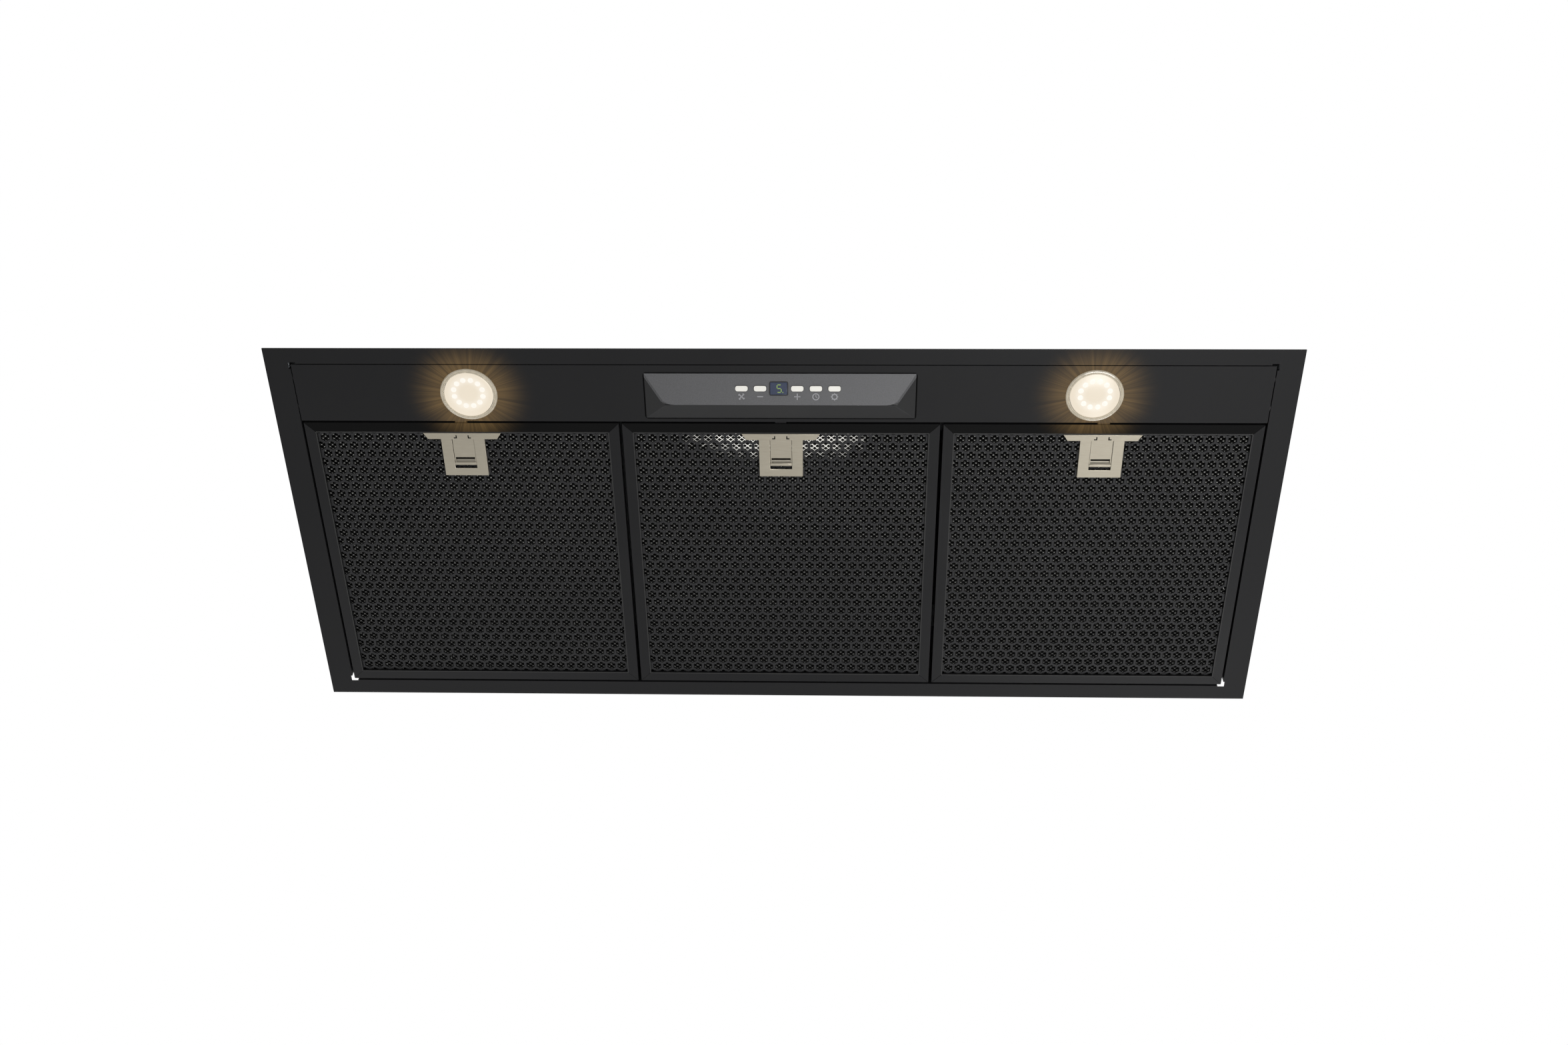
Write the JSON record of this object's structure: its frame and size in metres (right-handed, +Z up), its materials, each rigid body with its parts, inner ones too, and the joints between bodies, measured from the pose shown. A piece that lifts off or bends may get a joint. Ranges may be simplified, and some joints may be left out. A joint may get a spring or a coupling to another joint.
{
  "type": "undermount range hood",
  "caption": "Wide black undermount range hood with a front control strip, lamps, hinged honeycomb grease filters with latches, and a galvanised blower box with a round duct outlet above.",
  "frame": {"origin": "middle of the flange's upper face, in the plane of the cabinet's underside", "axes": "+X to the user's right along the hood, +Y from the user to the wall, +Z up towards the duct"},
  "size_m": [0.9, 0.385, 0.2892],
  "materials": {
    "fascia_black": "satin black powder coat",
    "galvanised": "galvanised sheet",
    "fastener_steel": "zinc plated",
    "filter_black": "satin black paint",
    "filter_mesh": "expanded mesh",
    "latch_steel": "satin stainless",
    "lamp_rim": "clear moulded rim",
    "lamp_lens": "opal diffuser",
    "lamp_board": "white circuit board",
    "lamp_can": "spun",
    "panel_black": "fine grain",
    "panel_grey": "metallic grey paint",
    "display_glass": "tinted window",
    "button_white": "lit white caps",
    "board_green": "circuit board",
    "black_plastic": "moulded",
    "white_plastic": "moulded",
    "wheel_plastic": "moulded",
    "motor_paint": "dark enamel",
    "capacitor_can": "plain can"
  },
  "bodies": {
    "root": {"fascia_frame": "fascia_black", "control_strip": "fascia_black", "plenum_shell": "galvanised", "plenum_end_left": "galvanised", "plenum_end_right": "galvanised", "motor_chamber": "galvanised", "scroll_wrapper": "galvanised", "scroll_side_left": "galvanised", "scroll_side_right": "galvanised", "motor_bracket": "galvanised", "outlet_collar": "galvanised", "plenum_rivets": "fastener_steel", "chamber_screws": "fastener_steel", "flap_pins": "fastener_steel", "lamp_bezel_left": "lamp_rim", "lamp_bezel_right": "lamp_rim", "lamp_lens_left": "lamp_lens", "lamp_lens_right": "lamp_lens", "lamp_board_left": "lamp_board", "lamp_board_right": "lamp_board", "lamp_housing_left": "lamp_can", "lamp_housing_right": "lamp_can", "control_bezel": "panel_black", "control_housing": "panel_black", "control_face": "panel_grey", "display_module": "display_glass", "control_board": "board_green", "button_switches": "black_plastic", "cable_gland": "black_plastic", "strip_spacers": "black_plastic", "electronics_box": "white_plastic", "electronics_lid": "white_plastic", "terminal_block": "white_plastic", "motor": "motor_paint", "capacitor": "capacitor_can"},
    "filter_left": {"filter_frame_left": "filter_black", "filter_face_left": "filter_black", "filter_mesh_left": "filter_mesh", "latch_plate_left": "latch_steel"},
    "latch_left": {"latch_slider_left": "latch_steel"},
    "filter_middle": {"filter_frame_middle": "filter_black", "filter_face_middle": "filter_black", "filter_mesh_middle": "filter_mesh", "latch_plate_middle": "latch_steel"},
    "latch_middle": {"latch_slider_middle": "latch_steel"},
    "filter_right": {"filter_frame_right": "filter_black", "filter_face_right": "filter_black", "filter_mesh_right": "filter_mesh", "latch_plate_right": "latch_steel"},
    "latch_right": {"latch_slider_right": "latch_steel"},
    "button_fan": {"button_fan": "button_white"},
    "button_minus": {"button_minus": "button_white"},
    "button_plus": {"button_plus": "button_white"},
    "button_timer": {"button_timer": "button_white"},
    "button_light": {"button_light": "button_white"},
    "impeller": {"impeller": "wheel_plastic", "impeller_blades": "wheel_plastic", "impeller_shaft": "fastener_steel"},
    "flap_front": {"flap_front": "wheel_plastic"},
    "flap_rear": {"flap_rear": "wheel_plastic"}
  },
  "joints": [
    {"name": "filter_left_hinge", "type": "hinge", "parent": "root", "child": "filter_left", "pos_m": [-0.285, 0.1771, 0.0014], "axis": [1, 0, 0], "range_deg": [0, 40]},
    {"name": "latch_left_slide", "type": "slide", "parent": "filter_left", "child": "latch_left", "axis": [0, 1, 0], "range_m": [-0.003, 0.0025]},
    {"name": "filter_middle_hinge", "type": "hinge", "parent": "root", "child": "filter_middle", "pos_m": [0, 0.1771, 0.0014], "axis": [1, 0, 0], "range_deg": [0, 40]},
    {"name": "latch_middle_slide", "type": "slide", "parent": "filter_middle", "child": "latch_middle", "axis": [0, 1, 0], "range_m": [-0.003, 0.0025]},
    {"name": "filter_right_hinge", "type": "hinge", "parent": "root", "child": "filter_right", "pos_m": [0.285, 0.1771, 0.0014], "axis": [1, 0, 0], "range_deg": [0, 40]},
    {"name": "latch_right_slide", "type": "slide", "parent": "filter_right", "child": "latch_right", "axis": [0, 1, 0], "range_m": [-0.003, 0.0025]},
    {"name": "button_fan_press", "type": "slide", "parent": "root", "child": "button_fan", "axis": [0, 0.3249, 0.9458], "range_m": [0, 0.001], "stiffness_N_per_m": 200, "springref_m": -0.002},
    {"name": "button_minus_press", "type": "slide", "parent": "root", "child": "button_minus", "axis": [0, 0.3249, 0.9458], "range_m": [0, 0.001], "stiffness_N_per_m": 200, "springref_m": -0.002},
    {"name": "button_plus_press", "type": "slide", "parent": "root", "child": "button_plus", "axis": [0, 0.3249, 0.9458], "range_m": [0, 0.001], "stiffness_N_per_m": 200, "springref_m": -0.002},
    {"name": "button_timer_press", "type": "slide", "parent": "root", "child": "button_timer", "axis": [0, 0.3249, 0.9458], "range_m": [0, 0.001], "stiffness_N_per_m": 200, "springref_m": -0.002},
    {"name": "button_light_press", "type": "slide", "parent": "root", "child": "button_light", "axis": [0, 0.3249, 0.9458], "range_m": [0, 0.001], "stiffness_N_per_m": 200, "springref_m": -0.002},
    {"name": "impeller_spin", "type": "hinge", "parent": "root", "child": "impeller", "pos_m": [0, -0.003, 0.174], "axis": [1, 0, 0], "continuous": true},
    {"name": "flap_front_swing", "type": "hinge", "parent": "root", "child": "flap_front", "pos_m": [0, 0.055, 0.252], "axis": [-1, 0, 0], "range_deg": [0, 80]},
    {"name": "flap_rear_swing", "type": "hinge", "parent": "root", "child": "flap_rear", "pos_m": [0, 0.065, 0.252], "axis": [1, 0, 0], "range_deg": [0, 80]}
  ]
}
